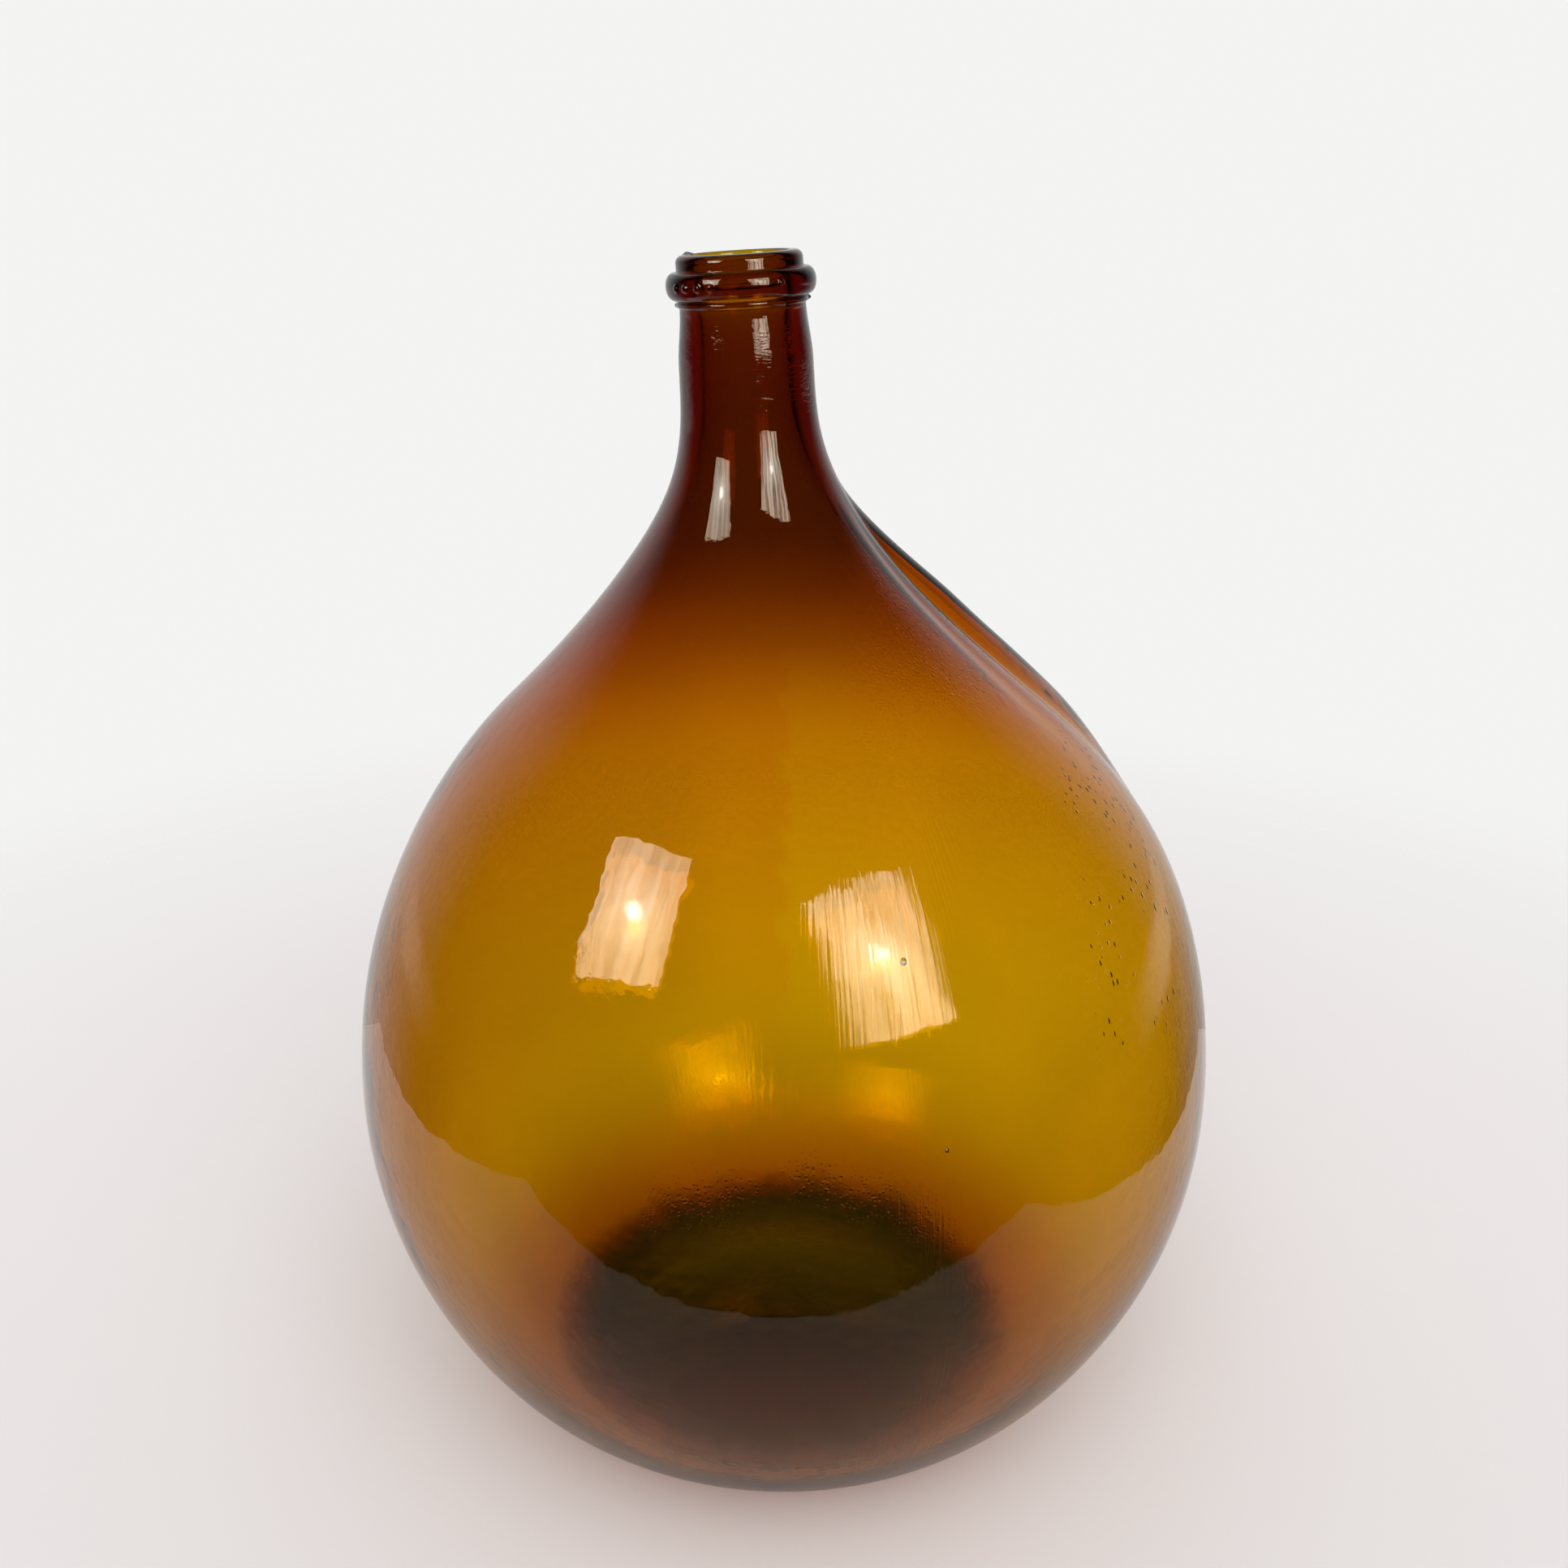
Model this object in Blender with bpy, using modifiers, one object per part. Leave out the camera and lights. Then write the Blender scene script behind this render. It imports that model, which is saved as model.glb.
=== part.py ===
"""Large teardrop glass carboy (demijohn), amber, open mouth.

Blender 4.5, metres, +Z up.  The origin is the middle of the foot, on the surface that the
carboy stands on.  The vessel is turned from one outline, cut into the zones that a glassmaker
names, and everything over the shoulder leans a little to one side, as on a hand-finished neck.
"""

import math

import bpy
import numpy as np
from mathutils import Vector
from mathutils.geometry import interpolate_bezier

# Driving dimensions
HEIGHT = 0.6275
BELLY_RADIUS = 0.2353
BELLY_HEIGHT = 0.196
FOOT_RADIUS = 0.111
FOOT_RING_WIDTH = 0.013
PUNT_HEIGHT = 0.017
SHOULDER_RADIUS = 0.140
SHOULDER_HEIGHT = 0.405
SHOULDER_SLOPE = math.radians(42)
NECK_ROOT_RADIUS = 0.0331
NECK_ROOT_HEIGHT = 0.575
NECK_RADIUS = 0.0307
BORE_RADIUS = 0.0235
RING_RADIUS = 0.0364
RING_BOTTOM = 0.6066
RING_TOP = 0.6198
BEAD_RADIUS = 0.0321
BEAD_BOTTOM = 0.6030
LIP_OUTER_ROUND = 0.0030
LIP_INNER_ROUND = 0.0017
GAP = 0.0003

# Glass thickness: thin in the belly, thick in the neck and the foot
BELLY_WALL = 0.0032
NECK_WALL = 0.0086
FOOT_WALL = 0.0085
WALL_THICKENS_FROM = 0.28
WALL_THICKENS_TO = 0.56

# The lean over the shoulder, eased in from the belly, and the tilt of the neck and its mouth
LEAN = math.radians(4.45)
LEAN_FROM = 0.298
LEAN_EASE = 0.080
TILT = math.radians(3.5)
TILT_FROM, TILT_TO = 0.470, 0.560

# Where one zone of the vessel ends and the next begins
BASE_TOP = 0.028
HEEL_TOP = 0.080
LOWER_BODY_TOP = 0.150
BELLY_TOP = 0.250
UPPER_BODY_TOP = 0.350
SHOULDER_TOP = 0.430
NECK_ROOT_TOP = 0.520

# Fineness of the turned meshes
TURN_STEPS = 44
PITCH = 0.022
MERGE = 0.00002


def clear_scene():
    for thing in list(bpy.data.objects):
        bpy.data.objects.remove(thing, do_unlink=True)


def glass(name, colour, roughness=0.05):
    material = bpy.data.materials.new(name)
    material.use_nodes = True
    shader = material.node_tree.nodes["Principled BSDF"]
    shader.inputs["Base Color"].default_value = (*colour, 1.0)
    shader.inputs["Roughness"].default_value = roughness
    shader.inputs["Metallic"].default_value = 0.0
    shader.inputs["IOR"].default_value = 1.5
    return material


def smooth(value, low, high):
    """0 below low, 1 above high, with an even ease between them."""
    t = min(max((value - low) / (high - low), 0.0), 1.0)
    return t * t * (3 - 2 * t)


def wall(height):
    """Thickness of the glass at a height of the vessel."""
    thick_neck = (NECK_WALL - BELLY_WALL) * smooth(height, WALL_THICKENS_FROM, WALL_THICKENS_TO)
    thick_heel = (FOOT_WALL - BELLY_WALL) * smooth(-height, -0.11, 0.0)
    return BELLY_WALL + thick_neck + thick_heel


def span(start, start_handle, end_handle, end, count):
    """Points along one Bezier span of an outline, as (radius, height)."""
    knots = [Vector((radius, 0, height)) for radius, height in (start, start_handle, end_handle, end)]
    return [(point.x, point.z) for point in interpolate_bezier(*knots, count)]


def outer_outline():
    """Outline of the vessel from the foot ring up to the top of the neck."""
    along = Vector((-math.cos(SHOULDER_SLOPE), math.sin(SHOULDER_SLOPE)))
    shoulder = Vector((SHOULDER_RADIUS, SHOULDER_HEIGHT))
    heel = span(
        (FOOT_RADIUS, 0.0),
        (FOOT_RADIUS + 0.052, 0.0005),
        (BELLY_RADIUS, BELLY_HEIGHT - 0.103),
        (BELLY_RADIUS, BELLY_HEIGHT),
        120,
    )
    bulb = span(
        (BELLY_RADIUS, BELLY_HEIGHT),
        (BELLY_RADIUS, BELLY_HEIGHT + 0.125),
        shoulder - 0.028 * along,
        shoulder,
        120,
    )
    cone = span(
        shoulder,
        shoulder + 0.147 * along,
        (NECK_ROOT_RADIUS + 0.001, NECK_ROOT_HEIGHT - 0.043),
        (NECK_ROOT_RADIUS, NECK_ROOT_HEIGHT),
        120,
    )
    neck = [(NECK_RADIUS, BEAD_BOTTOM), (NECK_RADIUS, HEIGHT)]
    return np.array(heel[:-1] + bulb[:-1] + cone + neck)


OUTER = outer_outline()


def inner_outline():
    """The same outline moved in by the thickness of the glass, never tighter than the bore."""
    direction = np.gradient(OUTER, axis=0)
    direction /= np.linalg.norm(direction, axis=1)[:, None]
    outward = np.stack([direction[:, 1], -direction[:, 0]], axis=1)
    thickness = np.array([wall(height) for height in OUTER[:, 1]])
    inner = OUTER - outward * thickness[:, None]
    inner[:, 0] = np.maximum(inner[:, 0], BORE_RADIUS)
    return inner


INNER = inner_outline()


def radius_at(outline, height):
    return float(np.interp(height, outline[:, 1], outline[:, 0]))


def heights(low, high, pitch):
    """Evenly spaced heights from low to high, about a pitch apart."""
    return np.linspace(low, high, max(2, round((high - low) / pitch) + 1))


def quarter_round(centre, radius, start, end, count=4):
    """Points on an arc about a (radius, height) centre, from one angle to another in degrees."""
    turns = np.radians(np.linspace(start, end, count + 1))
    return [(centre[0] + radius * math.cos(a), centre[1] + radius * math.sin(a)) for a in turns]


def lean_offset(height):
    """How far the middle of the vessel has moved towards -X at a height."""
    rise = max(height - LEAN_FROM, 0.0)
    ease = min(rise, LEAN_EASE)
    return -math.tan(LEAN) * (rise - ease + ease * ease / (2 * LEAN_EASE))


def lean(point):
    """Moves a point of the upright vessel to where the leaning shoulder and neck carry it."""
    tilt = TILT * smooth(point.z, TILT_FROM, TILT_TO)
    across = lean_offset(point.z) + point.x * math.cos(tilt)
    return Vector((across, point.y, point.z + point.x * math.sin(tilt)))


def turned(name, outline, closed, material, collection):
    """One solid turned from a (radius, height) outline that goes up inside and down outside."""
    mesh = bpy.data.meshes.new(name)
    count = len(outline)
    edges = [(i, i + 1) for i in range(count - 1)]
    if closed:
        edges.append((count - 1, 0))
    mesh.from_pydata([(radius, 0, height) for radius, height in outline], edges, [])
    turning = bpy.data.objects.new(name + "_outline", mesh)
    collection.objects.link(turning)
    screw = turning.modifiers.new("Turn", "SCREW")
    screw.axis = "Z"
    screw.angle = math.tau
    screw.steps = TURN_STEPS
    screw.render_steps = TURN_STEPS
    screw.use_merge_vertices = True
    screw.merge_threshold = MERGE
    screw.use_smooth_shade = True
    graph = bpy.context.evaluated_depsgraph_get()
    solid = bpy.data.meshes.new_from_object(turning.evaluated_get(graph))
    bpy.data.objects.remove(turning, do_unlink=True)
    for vertex in solid.vertices:
        vertex.co = lean(vertex.co)
    solid.set_sharp_from_angle(angle=math.radians(35))
    solid.materials.append(material)
    solid.name = name
    piece = bpy.data.objects.new(name, solid)
    collection.objects.link(piece)
    return piece


def wall_zone(low, high, pitch, straight_from=None):
    """Closed outline of the vessel's wall between two heights, straight above straight_from."""
    low += GAP / 2
    high -= GAP / 2
    if straight_from is None:
        levels = heights(low, high, pitch)
    else:
        levels = np.append(heights(low, straight_from, pitch), high)
    inside = [(radius_at(INNER, z), z) for z in levels]
    outside = [(radius_at(OUTER, z), z) for z in levels]
    return inside + outside[::-1]


def base_outline():
    """Punted foot: the floor inside, the heel outside, and the pushed-up middle underneath."""
    top = BASE_TOP - GAP / 2
    floor = span(
        (0.0, PUNT_HEIGHT + FOOT_WALL),
        (0.055, PUNT_HEIGHT + FOOT_WALL),
        (0.075, 0.0060),
        (0.110, 0.0085),
        7,
    )
    corner = span(
        (0.110, 0.0085),
        (0.128, 0.0098),
        (radius_at(INNER, top) - 0.012, top - 0.012),
        (radius_at(INNER, top), top),
        5,
    )
    heel = [(radius_at(OUTER, z), z) for z in (top, 0.020, 0.013, 0.007, 0.003)]
    ring = [(FOOT_RADIUS, 0.0), (FOOT_RADIUS - FOOT_RING_WIDTH, 0.0)]
    punt = span(
        (FOOT_RADIUS - FOOT_RING_WIDTH, 0.0),
        (0.075, 0.0060),
        (0.050, PUNT_HEIGHT),
        (0.0, PUNT_HEIGHT),
        7,
    )
    return floor[:-1] + corner + heel + ring + punt[1:]


def lip_outline():
    """Short collar with a rounded rim and a narrow flat top that a bung's flange can sit on."""
    low = RING_TOP + GAP
    outer_centre = (NECK_RADIUS - LIP_OUTER_ROUND, HEIGHT - LIP_OUTER_ROUND)
    inner_centre = (BORE_RADIUS + LIP_INNER_ROUND, HEIGHT - LIP_INNER_ROUND)
    inside = [(BORE_RADIUS, low)] + quarter_round(inner_centre, LIP_INNER_ROUND, 180, 90)
    outside = quarter_round(outer_centre, LIP_OUTER_ROUND, 90, 0) + [(NECK_RADIUS, low)]
    return inside + outside


def wrapped_outline(low, high, radius, fullness, count):
    """Section of glass wrapped round the neck: flat against it, and full outside."""
    seat = NECK_RADIUS + GAP
    middle = (low + high) / 2
    half = (high - low) / 2
    turns = np.radians(np.linspace(90, -90, count))
    swell = [max(math.cos(a), 0.0) ** fullness for a in turns]
    return [(seat + (radius - seat) * s, middle + half * math.sin(a)) for s, a in zip(swell, turns)]


def build():
    clear_scene()
    collection = bpy.data.collections.new("glass_carboy")
    bpy.context.scene.collection.children.link(collection)
    amber = glass("belly_glass", (0.53, 0.27, 0.01))
    brown = glass("neck_glass", (0.12, 0.03, 0.005))
    foot = glass("foot_glass", (0.20, 0.13, 0.04))
    turned("base", base_outline(), False, foot, collection)
    bulb_zones = [
        ("heel", BASE_TOP, HEEL_TOP, foot),
        ("lower_body", HEEL_TOP, LOWER_BODY_TOP, amber),
        ("belly", LOWER_BODY_TOP, BELLY_TOP, amber),
        ("upper_body", BELLY_TOP, UPPER_BODY_TOP, amber),
        ("shoulder", UPPER_BODY_TOP, SHOULDER_TOP, brown),
        ("neck_root", SHOULDER_TOP, NECK_ROOT_TOP, brown),
    ]
    for name, low, high, material in bulb_zones:
        turned(name, wall_zone(low, high, PITCH), True, material, collection)
    neck = wall_zone(NECK_ROOT_TOP, RING_TOP + GAP / 2, PITCH, straight_from=BEAD_BOTTOM)
    turned("neck", neck, True, brown, collection)
    bead = wrapped_outline(BEAD_BOTTOM, RING_BOTTOM - GAP, BEAD_RADIUS, 0.7, 5)
    turned("neck_bead", bead, True, brown, collection)
    ring = wrapped_outline(RING_BOTTOM, RING_TOP - GAP, RING_RADIUS, 0.75, 11)
    turned("neck_ring", ring, True, brown, collection)
    turned("lip", lip_outline(), True, brown, collection)


build()
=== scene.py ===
import math

import bmesh
import bpy
import numpy as np
from mathutils import Euler, Matrix, Vector
from mathutils.geometry import interpolate_bezier


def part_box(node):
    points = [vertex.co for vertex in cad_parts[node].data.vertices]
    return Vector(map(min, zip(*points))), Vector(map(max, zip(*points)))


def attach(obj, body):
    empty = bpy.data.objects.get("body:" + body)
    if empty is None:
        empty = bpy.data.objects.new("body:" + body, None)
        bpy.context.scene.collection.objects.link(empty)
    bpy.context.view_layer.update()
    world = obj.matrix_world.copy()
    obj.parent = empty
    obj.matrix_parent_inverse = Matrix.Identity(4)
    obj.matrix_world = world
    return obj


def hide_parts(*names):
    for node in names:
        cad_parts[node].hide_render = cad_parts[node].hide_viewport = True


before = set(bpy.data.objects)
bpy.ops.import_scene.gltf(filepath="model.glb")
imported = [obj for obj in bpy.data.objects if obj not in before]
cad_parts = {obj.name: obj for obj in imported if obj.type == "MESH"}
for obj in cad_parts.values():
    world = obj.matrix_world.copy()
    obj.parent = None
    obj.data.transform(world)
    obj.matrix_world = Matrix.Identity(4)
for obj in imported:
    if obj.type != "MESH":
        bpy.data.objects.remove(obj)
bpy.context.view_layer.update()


# Camera.  It stands a step in front of the carboy, just above the height of its mouth, and looks
# down on the belly through a wide lens, a quarter of a degree off level.
camera_data = bpy.data.cameras.new("camera")
camera_data.sensor_width = 36.0
camera_data.lens = 36.1
camera = bpy.data.objects.new("camera", camera_data)
bpy.context.scene.collection.objects.link(camera)
camera.location = (-0.0017, -0.793, 0.658)
camera.rotation_euler = Euler((math.radians(90 - 20.91), math.radians(-0.24), 0.0), "XYZ")
bpy.context.scene.camera = camera
bpy.context.scene.view_settings.view_transform = "Standard"


# Vessel.  One piece of amber glass, blown thin in the belly and left thick in the neck and the
# foot, with a ring of glass wrapped round the mouth under a short fire-rounded lip.  The outside
# is turned from one outline, and the inside is that outline moved in by the wall's thickness.
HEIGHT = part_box("lip")[1].z - 0.0019
BELLY_RADIUS = 0.2353
BELLY_HEIGHT = 0.196
FOOT_RADIUS = 0.111
FOOT_RING_WIDTH = 0.013
PUNT_HEIGHT = 0.017
SHOULDER_RADIUS = 0.140
SHOULDER_HEIGHT = 0.405
SHOULDER_SLOPE = math.radians(42)
NECK_ROOT_RADIUS = 0.0331
NECK_ROOT_HEIGHT = 0.575
NECK_RADIUS = 0.0307
BORE_RADIUS = 0.0235
RING_RADIUS = 0.0364
RING_BOTTOM = 0.6066
RING_TOP = 0.6198
BEAD_RADIUS = 0.0321
BEAD_BOTTOM = 0.6030
BELLY_WALL = 0.0023
NECK_WALL = 0.0088
NECK_EXTRA_WALL = 0.0034
NECK_BORE_RADIUS = 0.0202
FOOT_WALL = 0.0050
RIM_INNER_ROUND = 0.0017
RIM_OUTER_ROUND = 0.0036
LEAN = math.radians(4.45)
LEAN_FROM = 0.298
LEAN_EASE = 0.080
NECK_BOW = 0.0023
MOUTH_TILT = math.radians(3.5)
LOBE_SWELL = 0.0145
TURN_STEPS = 192


def smooth(value, low, high):
    """0 below low, 1 above high, with an even ease between them."""
    t = np.clip((value - low) / (high - low), 0.0, 1.0)
    return t * t * (3 - 2 * t)


def span(start, start_handle, end_handle, end, count):
    """Points along one Bezier span of an outline, as (radius, height)."""
    knots = [Vector((radius, 0, height)) for radius, height in (start, start_handle, end_handle, end)]
    return [(point.x, point.z) for point in interpolate_bezier(*knots, count)]


def arc(centre, width, height, start, end, count):
    """Points on an elliptic arc of an outline, from one angle to another in degrees."""
    turns = np.radians(np.linspace(start, end, count))
    return [(centre[0] + width * math.cos(a), centre[1] + height * math.sin(a)) for a in turns]


def bulb_outline():
    """The blown outside from the foot ring up to the bead under the ring."""
    along = Vector((-math.cos(SHOULDER_SLOPE), math.sin(SHOULDER_SLOPE)))
    shoulder = Vector((SHOULDER_RADIUS, SHOULDER_HEIGHT))
    belly = (BELLY_RADIUS, BELLY_HEIGHT)
    heel_handle = (FOOT_RADIUS + 0.052, 0.0005)
    neck_handle = (NECK_ROOT_RADIUS + 0.001, NECK_ROOT_HEIGHT - 0.043)
    neck = (NECK_ROOT_RADIUS, NECK_ROOT_HEIGHT)
    heel = span((FOOT_RADIUS, 0.0), heel_handle, (BELLY_RADIUS, BELLY_HEIGHT - 0.103), belly, 52)
    bulb = span(belly, (BELLY_RADIUS, BELLY_HEIGHT + 0.125), shoulder - 0.028 * along, shoulder, 50)
    cone = span(shoulder, shoulder + 0.147 * along, neck_handle, neck, 48)
    top = span(neck, (NECK_ROOT_RADIUS, 0.585), (NECK_RADIUS, 0.594), (NECK_RADIUS, BEAD_BOTTOM), 10)
    return heel[:-1] + bulb[:-1] + cone[:-1] + top


def inside_of(outside):
    """The outline moved in by the thickness of the glass, never tighter than the bore."""
    outside = np.array(outside)
    direction = np.gradient(outside, axis=0)
    direction /= np.linalg.norm(direction, axis=1)[:, None]
    outward = np.stack([direction[:, 1], -direction[:, 0]], axis=1)
    height = outside[:, 1]
    thickness = BELLY_WALL + (NECK_WALL - BELLY_WALL) * smooth(height, 0.30, 0.56)
    thickness += (FOOT_WALL - BELLY_WALL) * smooth(-height, -0.058, 0.0)
    thickness += NECK_EXTRA_WALL * smooth(height, 0.500, 0.565)
    inner = outside - outward * thickness[:, None]
    bore = NECK_BORE_RADIUS + (BORE_RADIUS - NECK_BORE_RADIUS) * smooth(height, 0.596, 0.616)
    inner[:, 0] = np.maximum(inner[:, 0], bore)
    return [tuple(point) for point in inner]


def finish_outline():
    """The mouth, from the bore over the rim and down the lip, the ring and the bead."""
    ring_middle = (RING_BOTTOM + RING_TOP) / 2
    ring_half = (RING_TOP - RING_BOTTOM) / 2
    inner, outer = RIM_INNER_ROUND, RIM_OUTER_ROUND
    rim_inner = arc((BORE_RADIUS + inner, HEIGHT - inner), inner, inner, 180, 90, 7)
    rim_outer = arc((NECK_RADIUS - outer, HEIGHT - outer), outer, outer, 90, 0, 10)
    fillet_top = arc((NECK_RADIUS + 0.0008, RING_TOP + 0.0006), 0.0008, 0.0008, 180, 270, 4)
    ring_reach = RING_RADIUS - NECK_RADIUS
    turns = np.radians(np.linspace(84, -84, 26))
    ring = [
        (NECK_RADIUS + ring_reach * math.cos(a) ** 0.72, ring_middle + ring_half * math.sin(a))
        for a in turns
    ]
    bead_height = RING_BOTTOM - BEAD_BOTTOM
    bead_middle = (RING_BOTTOM + BEAD_BOTTOM) / 2
    bead = arc((NECK_RADIUS, bead_middle), BEAD_RADIUS - NECK_RADIUS, bead_height * 0.42, 80, -80, 9)
    return rim_inner + rim_outer + fillet_top + ring + bead


def foot_outline():
    """Underneath, from the resting ring in to the pushed-up middle."""
    edge = FOOT_RADIUS - FOOT_RING_WIDTH
    ring = [(FOOT_RADIUS - 0.004, 0.0), (edge + 0.003, 0.0)]
    punt = span((edge, 0.0), (0.075, 0.0060), (0.050, PUNT_HEIGHT), (0.0, PUNT_HEIGHT), 26)
    return ring + punt


def floor_outline(start):
    """The floor inside, from the axis out to the start of the inner heel."""
    top = PUNT_HEIGHT + FOOT_WALL
    floor = span((0.0, top), (0.055, top), (0.075, 0.0060), (0.108, 0.0085), 26)
    corner = span((0.108, 0.0085), (0.122, 0.0096), (start[0] - 0.006, start[1] - 0.004), start, 10)
    return floor[:-1] + corner[:-1]


def lean_offset(height):
    """How far the middle of the vessel has moved towards -X at a height."""
    rise = np.maximum(height - LEAN_FROM, 0.0)
    ease = np.minimum(rise, LEAN_EASE)
    return -math.tan(LEAN) * (rise - ease + ease * ease / (2 * LEAN_EASE))


def neck_drift(height):
    """A slight bow of the shoulder and neck towards -X, on top of the lean."""
    return -NECK_BOW * smooth(height, 0.40, 0.51) * (1 - 0.65 * smooth(height, 0.53, 0.61))


def vessel_mesh():
    outside = bulb_outline()
    inside = inside_of(outside)[::2]
    heel = next(i for i, point in enumerate(inside) if point[0] > 0.136)
    inside = floor_outline(inside[heel]) + inside[heel:]
    inside = [point for point in inside if point[1] < HEIGHT - 0.008]
    outline = inside + finish_outline() + outside[::-1] + foot_outline()
    work = bmesh.new()
    verts = [work.verts.new((radius, 0, height)) for radius, height in outline]
    edges = [work.edges.new(pair) for pair in zip(verts, verts[1:])]
    bmesh.ops.spin(
        work, geom=verts + edges, cent=(0, 0, 0), axis=(0, 0, 1), dvec=(0, 0, 0),
        angle=math.tau, steps=TURN_STEPS, use_merge=True, use_normal_flip=False,
    )
    bmesh.ops.remove_doubles(work, verts=work.verts, dist=0.00002)
    bmesh.ops.recalc_face_normals(work, faces=work.faces)
    # The front of the ring gets a finer net of faces, for its pips.
    front = [
        edge for edge in work.edges
        if all(v.co.y < -0.010 and RING_BOTTOM < v.co.z < RING_TOP for v in edge.verts)
        and all(v.co.to_2d().length > NECK_RADIUS + 0.0002 for v in edge.verts)
    ]
    bmesh.ops.subdivide_edges(work, edges=front, cuts=2, use_grid_fill=True)
    mesh = bpy.data.meshes.new("vessel")
    work.to_mesh(mesh)
    work.free()
    return mesh


def read_vectors(items, attribute):
    """One vector per vertex, as the rows of an array."""
    flat = np.empty(len(items) * 3)
    items.foreach_get(attribute, flat)
    return flat.reshape(-1, 3)


def bump_out(along, height, reach, stand):
    """A small round lump on a surface, from how far along and how high each vertex lies."""
    return stand * np.exp(-(np.hypot(along, height) / reach) ** 4)


def shape_vessel(mesh):
    """Gives the turned vessel its hand-made form: lean, tilt, the fold in the shoulder, wobble."""
    co = read_vectors(mesh.vertices, "co")
    normals = read_vectors(mesh.vertex_normals, "vector")
    x, y, z = co.T.copy()
    radius = np.hypot(x, y)
    angle = np.arctan2(x, -y)
    around = np.degrees(angle)
    # A shallow fold runs down the right of the shoulder, and the glass behind it stands prouder.
    on_shoulder = smooth(z, 0.32, 0.43) * smooth(-z, -0.525, -0.45)
    lobe = smooth(around, 91, 105) * smooth(-around, -165, -118)
    move = LOBE_SWELL * on_shoulder * lobe
    move -= 0.0030 * on_shoulder * np.exp(-(((around - 92) / 3.0) ** 2))
    move -= 0.0016 * on_shoulder * smooth(z, 0.35, 0.42) * np.exp(-(((around - 76) / 5.0) ** 2))
    # The bulb is not quite round.
    move += 0.0006 * np.sin(2 * angle + 0.7) * smooth(z, 0.03, 0.12) * smooth(-z, -0.55, -0.40)
    move += 0.0004 * np.sin(5 * angle + 19 * z) * smooth(z, 0.05, 0.15) * smooth(-z, -0.52, -0.40)
    # The glass ran thicker on the left of the belly than on the right.
    inner = (normals[:, 0] * x + normals[:, 1] * y < 0) & (z > 0.03) & (z < 0.60)
    on_left = smooth(-around, 15, 75) * smooth(z, 0.05, 0.15) * smooth(-z, -0.44, -0.34)
    move -= 0.0009 * inner * on_left
    # Plain pips stand on the front of the ring, and a seam left two nubs under it.
    for turn, height, reach, stand in (
        (-56, 0.6132, 0.0018, 0.0008), (-45, 0.6132, 0.0018, 0.0008), (-33, 0.6132, 0.0018, 0.0007),
        (-22, 0.6132, 0.0018, 0.0006), (33, 0.6140, 0.0014, 0.0007), (90, 0.6052, 0.0013, 0.0012),
        (-88, 0.6046, 0.0013, 0.0007),
    ):
        along = np.radians(around - turn) * radius
        move += bump_out(along, z - height, reach, stand) * (radius > NECK_RADIUS)
    off_axis = radius > 1e-6
    grow = 1 + move * off_axis / np.where(off_axis, radius, 1.0)
    x, y = x * grow, y * grow
    # A small lump was left on the rim.
    rim_middle = 0.0275
    lump = np.hypot(np.radians(around + 112) * rim_middle, radius - rim_middle) / 0.0028
    z = z + 0.0012 * np.exp(-lump ** 2) * (z > HEIGHT - 0.002)
    tilt = MOUTH_TILT * smooth(z, 0.470, 0.560)
    co[:, 0] = lean_offset(z) + neck_drift(z) + x * np.cos(tilt)
    co[:, 1] = y
    co[:, 2] = z + x * np.sin(tilt)
    mesh.vertices.foreach_set("co", co.ravel())
    mesh.update()


class Wire:
    """A socket in a material, so that shader maths is written as an expression."""

    def __init__(self, tree, socket):
        self.tree = tree
        self.socket = socket

    def maths(self, operation, *others, swap=False, **settings):
        values = (self, *others)
        if swap:
            values = values[::-1]
        return self.node("ShaderNodeMath", {"operation": operation, **settings}, values)

    def node(self, kind, settings=None, inputs=(), output=0):
        """Adds any node: its settings first, then the values or links of its sockets."""
        made = self.tree.nodes.new(kind)
        for name, value in (settings or {}).items():
            if name == "stops":
                while len(made.color_ramp.elements) < len(value):
                    made.color_ramp.elements.new(0.5)
                for stop, (position, colour) in zip(made.color_ramp.elements, value):
                    stop.position = position
                    stop.color = (*colour, 1.0)
            else:
                setattr(made, name, value)
        pairs = inputs.items() if isinstance(inputs, dict) else enumerate(inputs)
        for name, value in pairs:
            if isinstance(value, Wire):
                self.tree.links.new(value.socket, made.inputs[name])
            else:
                made.inputs[name].default_value = value
        return Wire(self.tree, made.outputs[output])

    def __add__(self, other):
        return self.maths("ADD", other)

    def __sub__(self, other):
        return self.maths("SUBTRACT", other)

    def __rsub__(self, other):
        return self.maths("SUBTRACT", other, swap=True)

    def __mul__(self, other):
        return self.maths("MULTIPLY", other)

    def __truediv__(self, other):
        return self.maths("DIVIDE", other)

    __radd__ = __add__
    __rmul__ = __mul__

    def split(self):
        """The three parts of a vector."""
        parts = self.tree.nodes.new("ShaderNodeSeparateXYZ")
        self.tree.links.new(self.socket, parts.inputs[0])
        return [Wire(self.tree, parts.outputs[i]) for i in range(3)]

    def ease(self, low, high):
        """0 below low and 1 above high; low may be the higher number."""
        kind = {"interpolation_type": "SMOOTHSTEP"}
        return self.node("ShaderNodeMapRange", kind, {"Value": self, "From Min": low, "From Max": high})


def noise(place, scale, detail):
    return place.node("ShaderNodeTexNoise", None, {"Vector": place, "Scale": scale, "Detail": detail})


def dots(place, scale, reach):
    """Separate dots, 1 in the middle of each and 0 from reach outwards."""
    cells = place.node("ShaderNodeTexVoronoi", None, {"Vector": place, "Scale": scale})
    return cells.ease(reach, 0.0)


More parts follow.
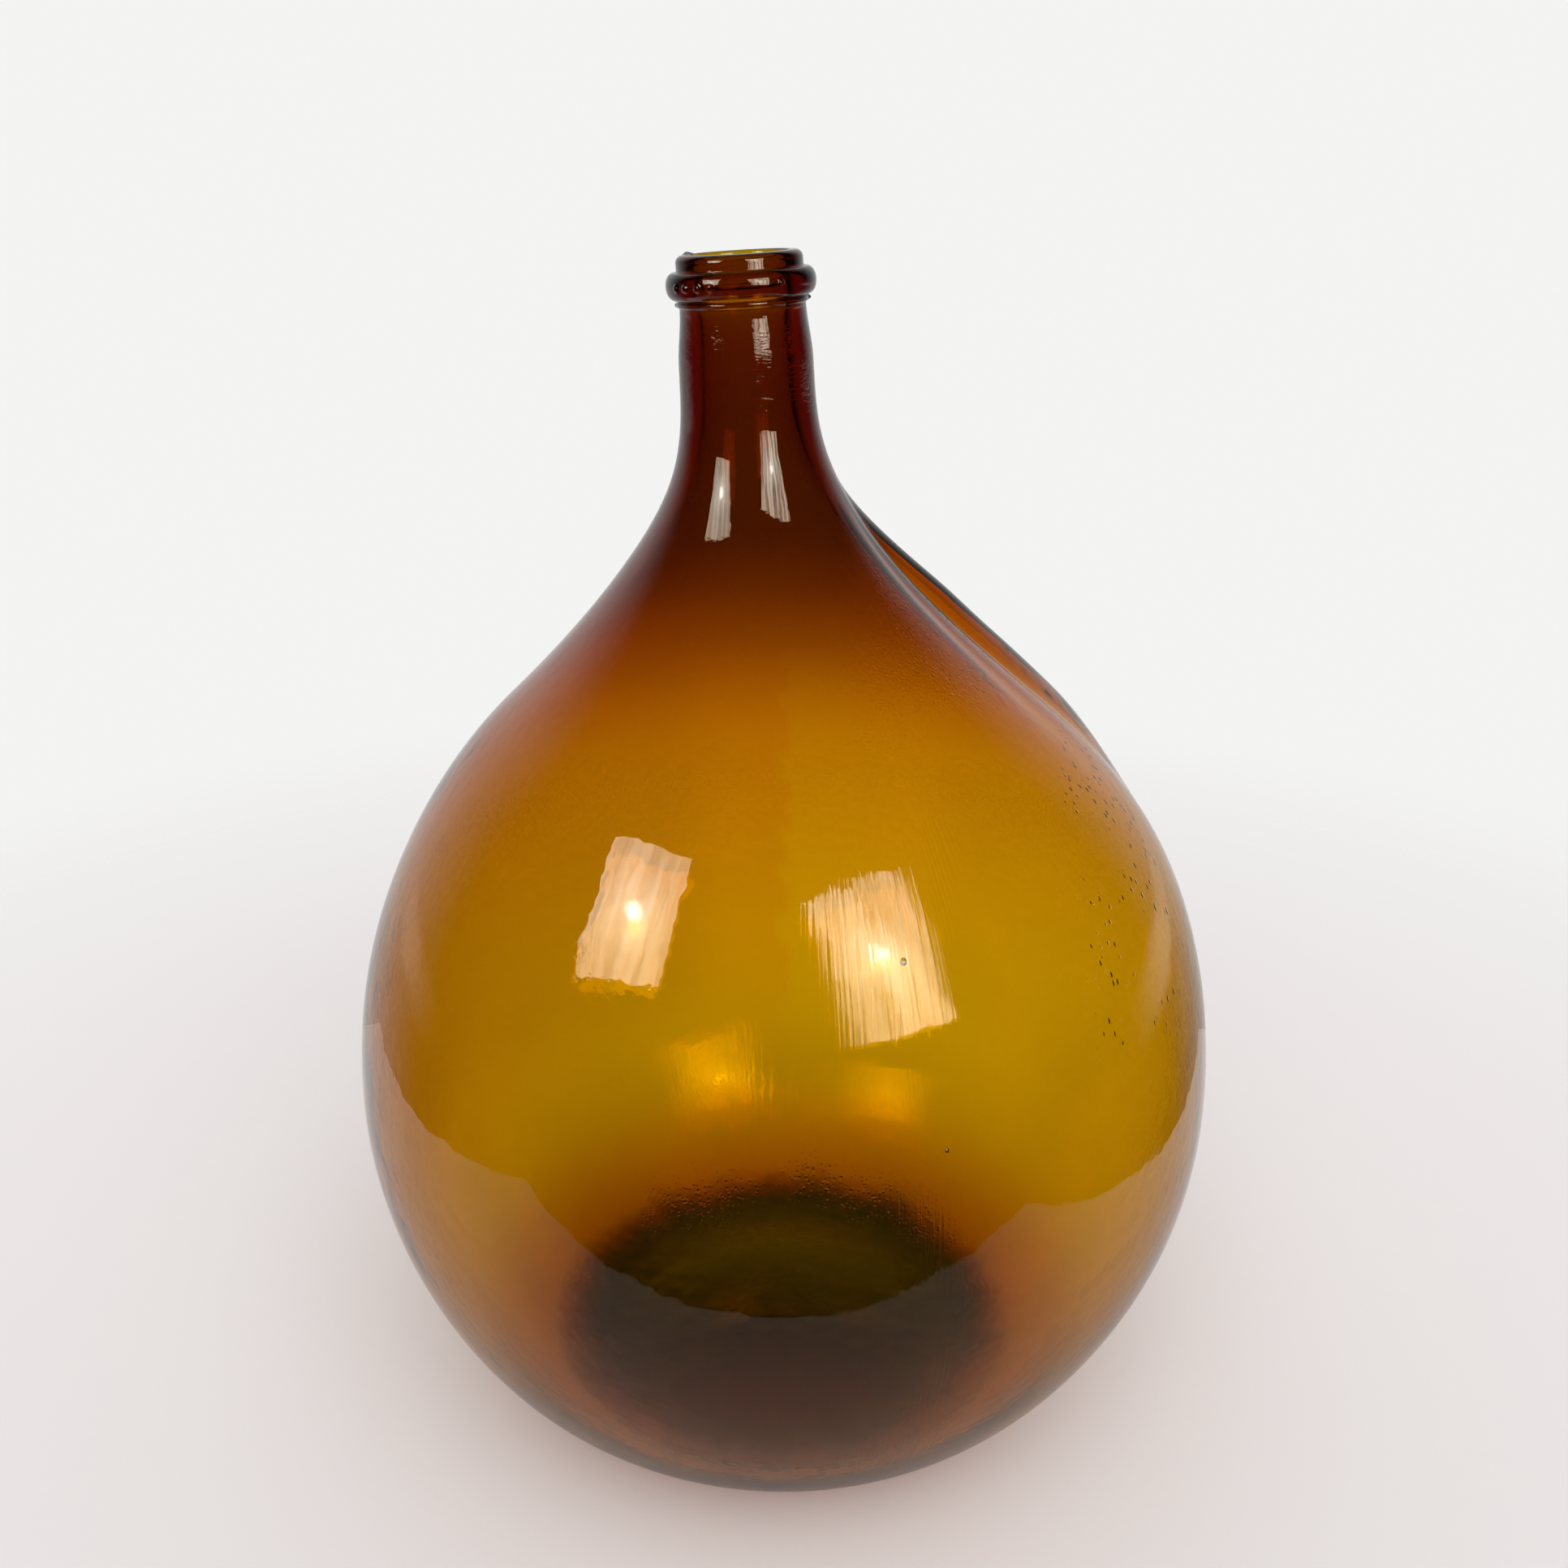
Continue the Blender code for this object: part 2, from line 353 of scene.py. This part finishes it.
def mixed(factor, first, second):
    return factor.node("ShaderNodeMix", {"data_type": "RGBA"}, {0: factor, 6: first, 7: second}, 2)


def glass_relief(place, turned, x, y, height, radius):
    """The relief of the surface, in millimetres."""
    # Slow waves and a finer ripple cross the whole bulb.
    relief = noise(place, 9.0, 2.0) * 0.9 + noise(place, 60.0, 2.0) * 0.16
    # Fine lines run down the front and the back, where the glass was turned in the mould.
    on_front = x.ease(-0.01, 0.02) * x.ease(0.085, 0.065) * height.ease(0.40, 0.37)
    on_back = y.ease(0.0, 0.08) * height.ease(0.34, 0.28)
    relief = relief + noise(turned, 85.0, 3.0) * 0.05 * (on_front * 2.2 + on_back * 4.0)
    # Patches are pitted where the glass chilled: with dashes on the right flank, and with small
    # dots on the shoulder and low on the front.
    patch = noise(place, 22.0, 2.0)
    near = y.ease(0.01, -0.02)
    flank = x.ease(0.125, 0.150) * near * height.ease(0.26, 0.31) * height.ease(0.43, 0.40)
    stretched = place.node("ShaderNodeCombineXYZ", None, (x, y, height * 0.45))
    relief = relief + dots(stretched, 190.0, 0.24) * patch.ease(0.45, 0.52) * 0.40 * flank
    shoulder = x.ease(0.015, 0.050) * near * height.ease(0.405, 0.435) * height.ease(0.51, 0.48)
    low_front = y.ease(0.02, -0.05) * height.ease(0.17, 0.24) * height.ease(0.36, 0.30)
    peel = patch.ease(0.46, 0.58) * low_front
    relief = relief + dots(place, 420.0, 0.40) * (0.10 * shoulder + 0.035 * peel)
    # The neck is crinkled level by level, mostly near its top.
    squat = place.node("ShaderNodeCombineXYZ", None, (x * 0.30, y * 0.30, height))
    crinkled = height.ease(0.548, 0.562) * height.ease(0.602, 0.590) + height.ease(0.48, 0.50) * 0.12
    relief = relief + noise(squat, 640.0, 2.0) * 0.15 * crinkled
    # Dregs have dried to a crust on the floor.
    crusted = radius.ease(0.125, 0.095) * height.ease(0.045, 0.028)
    return relief + noise(place, 70.0, 3.0) * 1.3 * crusted


def glass_tone(turned, x, y, height, radius):
    """The tint of the surface, on top of the amber of the glass itself, with painted shade on the
    flanks and the foot.
    """
    # The upper shoulder and the neck are smokier than the thin belly.
    shades = (
        (0.36, 1.00, 1.00), (0.40, 0.91, 0.91), (0.426, 0.84, 0.84), (0.449, 0.66, 0.66),
        (0.475, 0.445, 0.445), (0.50, 0.385, 0.40), (0.55, 0.46, 0.66), (0.60, 0.56, 0.80),
    )
    stops = [(level / HEIGHT, (red, green, green)) for level, red, green in shades]
    smoke = height.node("ShaderNodeValToRGB", {"stops": stops}, [height / HEIGHT])
    # The flanks of the belly are darkened a little as painted shade, and the heel is marked by faint
    # drips.
    painted_flank_shade = x.ease(-0.03, -0.09) * 0.11 + x.ease(0.08, 0.13) * 0.08 * height.ease(0.32, 0.28)
    marks = noise(turned, 26.0, 4.0).ease(0.50, 0.66) * 0.09
    flank_shade_and_drips = 1 - painted_flank_shade * height.ease(0.08, 0.14) * height.ease(0.42, 0.36)
    flank_shade_and_drips = flank_shade_and_drips - marks * y.ease(0.02, -0.02) * height.ease(0.03, 0.06) * height.ease(0.12, 0.08)
    tone = smoke.node("ShaderNodeVectorMath", {"operation": "SCALE"}, {0: smoke, "Scale": flank_shade_and_drips})
    # The glass is clearer behind the fold.
    fold = x.ease(0.03, 0.07) * y.ease(-0.005, 0.01) * y.ease(0.10, 0.06) * height.ease(0.52, 0.48)
    tone = mixed(fold * 0.90, tone, (1.0, 1.0, 1.0, 1.0))
    # Painted shade darkens the foot in place of the shadow under the vessel, most of all at the back,
    # and its edge runs in drips.
    edge = (noise(turned, 4.0, 5.0) - 0.5) * 0.04
    foot = (radius + edge).ease(0.146, 0.104) * height.ease(0.050, 0.018)
    stops = ((0.0, (0.52, 0.70, 0.64)), (1.0, (0.025, 0.09, 0.12)))
    painted_foot_shade = y.node("ShaderNodeValToRGB", {"stops": stops}, [y.ease(-0.10, 0.03)])
    return mixed(foot, tone, painted_foot_shade)


def amber_glass():
    material = bpy.data.materials.new("amber_glass")
    material.use_nodes = True
    tree = material.node_tree
    shader = tree.nodes["Principled BSDF"]
    shader.inputs["Roughness"].default_value = 0.0
    shader.inputs["IOR"].default_value = 1.5
    shader.inputs["Transmission Weight"].default_value = 1.0
    absorption = tree.nodes.new("ShaderNodeVolumeAbsorption")
    absorption.inputs["Color"].default_value = (0.977, 0.915, 0.0, 1.0)
    absorption.inputs["Density"].default_value = 2000.0
    tree.links.new(absorption.outputs["Volume"], tree.nodes["Material Output"].inputs["Volume"])
    place = Wire(tree, tree.nodes.new("ShaderNodeTexCoord").outputs["Object"])
    x, y, height = place.split()
    radius = (x * x + y * y).maths("SQRT")
    # These coordinates change fast around the vessel and slowly up it, for marks that run down.
    turned = place.node("ShaderNodeCombineXYZ", None, (x / radius, y / radius, height * 0.07))
    relief = glass_relief(place, turned, x, y, height, radius)
    bump = place.node("ShaderNodeBump", None, {"Strength": 1.0, "Distance": 0.001, "Height": relief})
    tree.links.new(bump.socket, shader.inputs["Normal"])
    tone = glass_tone(turned, x, y, height, radius)
    tree.links.new(tone.socket, shader.inputs["Base Color"])
    return material


def seed_bubble(mesh, x, height, half_height):
    """A bubble in the front wall: a hollow whose faces look into it, set between the two skins."""
    outline = np.array(bulb_outline())
    radius = np.interp(height, outline[:, 1], outline[:, 0]) - BELLY_WALL / 2
    work = bmesh.new()
    bmesh.ops.create_uvsphere(work, u_segments=20, v_segments=12, radius=1.0)
    bmesh.ops.reverse_faces(work, faces=work.faces)
    bmesh.ops.scale(work, vec=(half_height * 0.8, BELLY_WALL * 0.36, half_height), verts=work.verts)
    turn = math.asin(x / radius)
    bmesh.ops.rotate(work, cent=(0, 0, 0), matrix=Matrix.Rotation(turn, 3, "Z"), verts=work.verts)
    place = Vector((x, -radius * math.cos(turn), height))
    bmesh.ops.translate(work, vec=place, verts=work.verts)
    work.from_mesh(mesh)
    work.to_mesh(mesh)
    work.free()


vessel = bpy.data.objects.new("vessel", vessel_mesh())
bpy.context.scene.collection.objects.link(vessel)
seed_bubble(vessel.data, 0.0520, 0.344, 0.0019)
seed_bubble(vessel.data, 0.0700, 0.268, 0.0012)
shape_vessel(vessel.data)
vessel.data.shade_smooth()
vessel.data.materials.append(amber_glass())
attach(vessel, "root")
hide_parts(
    "base", "heel", "lower_body", "belly", "upper_body", "shoulder", "neck_root",
    "neck", "neck_bead", "neck_ring", "lip",
)


# Floor.  A table under a pale cloth, whose near and side edges the glass mirrors.  The same pale
# ground runs on beyond it, unmirrored, and fades into the light surroundings.
CLOTH = (0.83, 0.80, 0.81)
CLOTH_IN_SHADE = (0.42, 0.36, 0.33)


def pale_cloth(name):
    material = bpy.data.materials.new(name)
    material.use_nodes = True
    shader = material.node_tree.nodes["Principled BSDF"]
    shader.inputs["Base Color"].default_value = (*CLOTH, 1.0)
    shader.inputs["Roughness"].default_value = 0.9
    shader.inputs["Specular IOR Level"].default_value = 0.1
    return material


def shaded_cloth():
    """The cloth that the glass mirrors, in shade in front of the vessel."""
    material = pale_cloth("shaded_cloth")
    tree = material.node_tree
    place = Wire(tree, tree.nodes.new("ShaderNodeTexCoord").outputs["Object"])
    depth = place.split()[1].ease(-0.45, 0.30)
    stops = ((0.0, CLOTH_IN_SHADE), (1.0, CLOTH))
    shade = depth.node("ShaderNodeValToRGB", {"stops": stops}, [depth])
    tree.links.new(shade.socket, tree.nodes["Principled BSDF"].inputs["Base Color"])
    return material


def fading_cloth():
    """The cloth that is seen directly. It fades out far away, and where it is mirrored."""
    material = pale_cloth("fading_cloth")
    tree = material.node_tree
    place = Wire(tree, tree.nodes.new("ShaderNodeTexCoord").outputs["Object"])
    far = place.node("ShaderNodeVectorMath", {"operation": "LENGTH"}, [place], output=1)
    mirrored = Wire(tree, tree.nodes.new("ShaderNodeLightPath").outputs["Glossy Depth"])
    gone = far.ease(0.55, 1.25).maths("MAXIMUM", mirrored.maths("MINIMUM", 1.0))
    clear = tree.nodes.new("ShaderNodeBsdfTransparent")
    mix = tree.nodes.new("ShaderNodeMixShader")
    tree.links.new(gone.socket, mix.inputs[0])
    tree.links.new(tree.nodes["Principled BSDF"].outputs[0], mix.inputs[1])
    tree.links.new(clear.outputs[0], mix.inputs[2])
    tree.links.new(mix.outputs[0], tree.nodes["Material Output"].inputs["Surface"])
    return material


def flat_sheet(name, low, high, height, material):
    work = bmesh.new()
    bmesh.ops.create_grid(work, x_segments=1, y_segments=1, size=0.5)
    size = Vector((high[0] - low[0], high[1] - low[1], 1.0))
    middle = Vector(((high[0] + low[0]) / 2, (high[1] + low[1]) / 2, height))
    bmesh.ops.scale(work, vec=size, verts=work.verts)
    bmesh.ops.translate(work, vec=middle, verts=work.verts)
    mesh = bpy.data.meshes.new(name)
    work.to_mesh(mesh)
    work.free()
    mesh.materials.append(material)
    sheet = bpy.data.objects.new(name, mesh)
    bpy.context.scene.collection.objects.link(sheet)
    return sheet


table = flat_sheet("table", (-0.72, -0.478), (0.57, 0.36), -0.0002, shaded_cloth())
table.visible_camera = False
table.visible_diffuse = False
table.visible_shadow = False
table.visible_transmission = False
flat_sheet("ground", (-1.6, -1.6), (1.6, 1.6), -0.0006, fading_cloth())


# Light.  Two soft boxes stand in front, to the left and to the right, each with a bright middle
# and upright folds in its cloth.  Only the glass shows them; the surroundings light the floor.
BOX_DISTANCE = 1.05


def box_glow(tree, width, height, folded):
    """The brightness and the colour over a box, hottest and whitest in its middle."""
    spot = Wire(tree, tree.nodes.new("ShaderNodeNewGeometry").outputs["Parametric"])
    across, up, _ = spot.split()
    across = (across - 0.5) * width
    up = (up - 0.5) * height
    away = (across * across + up * up).maths("SQRT")
    pleats = spot.node("ShaderNodeCombineXYZ", None, (across * 22.0, up * 1.5, 0.0))
    folds = noise(pleats, 1.0, 2.0).ease(0.35, 0.65) - 0.5
    glow = 7.0 * (1 + folded * folds) + 3.0 * away.ease(0.22, 0.05) + 26.0 * away.ease(0.065, 0.0)
    warmth = ((0.0, (1.0, 1.0, 0.86)), (0.45, (0.95, 0.88, 0.70)), (1.0, (0.88, 0.70, 0.50)))
    tint = away.node("ShaderNodeValToRGB", {"stops": warmth}, [away / 0.32])
    return glow, tint


def soft_box(name, towards, azimuth, elevation, roll, width, height, folded):
    """A box of light seen from a point on the belly, 0 azimuth being straight in front."""
    turn, rise, spin = math.radians(azimuth), math.radians(elevation), math.radians(roll)
    way = Vector((math.sin(turn) * math.cos(rise), -math.cos(turn) * math.cos(rise), math.sin(rise)))
    level = Vector((math.cos(turn), math.sin(turn), 0.0))
    axis_x = level * math.cos(spin) + way.cross(level) * math.sin(spin)
    facing = Matrix((axis_x, way.cross(axis_x), way)).transposed().to_4x4()
    data = bpy.data.lights.new(name, "AREA")
    data.shape = "RECTANGLE"
    data.size = width
    data.size_y = height
    data.energy = math.pi * width * height
    data.use_nodes = True
    tree = data.node_tree
    glow, tint = box_glow(tree, width, height, folded)
    tree.links.new(glow.socket, tree.nodes["Emission"].inputs["Strength"])
    tree.links.new(tint.socket, tree.nodes["Emission"].inputs["Color"])
    lamp = bpy.data.objects.new(name, data)
    lamp.matrix_world = Matrix.Translation(Vector(towards) + way * BOX_DISTANCE) @ facing
    lamp.visible_camera = False
    lamp.visible_diffuse = False
    bpy.context.scene.collection.objects.link(lamp)


soft_box("left_box", (-0.069, -0.169, 0.360), -54.0, 38.8, 17, 0.45, 0.58, 0.55)
soft_box("right_box", (0.038, -0.187, 0.348), 32.0, 37.6, 1, 0.58, 0.72, 1.40)


# Surroundings.  They are pale seen directly and through the glass.  Mirrored in the glass they are
# dark in front, with a pale wall behind.  The floor gets more of their light from the front.
world = bpy.data.worlds.new("surroundings")
bpy.context.scene.world = world
world.use_nodes = True
air = world.node_tree
back = air.nodes["Background"]
way = Wire(air, air.nodes.new("ShaderNodeTexCoord").outputs["Generated"])
to_right, to_back, upwards = way.split()
ray = air.nodes.new("ShaderNodeLightPath")
mirrored = Wire(air, ray.outputs["Glossy Depth"]).maths("MINIMUM", 1.0)
scattered = Wire(air, ray.outputs["Diffuse Depth"]).maths("MINIMUM", 1.0)
wall = 0.64 * (to_back - to_right * 0.10).ease(0.30, 0.88)
wall_foot = 0.60 * to_back.ease(0.14, 0.56) * upwards.ease(-0.22, -0.15) * upwards.ease(-0.02, -0.09)
key_way = (0.08, -0.75, 0.65)
key = way.node("ShaderNodeVectorMath", {"operation": "DOT_PRODUCT"}, [way, key_way], 1).ease(0.70, 0.98)
seen = mirrored * (0.012 + wall.maths("MAXIMUM", wall_foot)) + (1 - mirrored) * 0.90
level = (1 - scattered) * seen + scattered * (0.62 + key * 2.2)
air.links.new(level.socket, back.inputs["Strength"])
back.inputs["Color"].default_value = (1.0, 1.0, 0.985, 1.0)
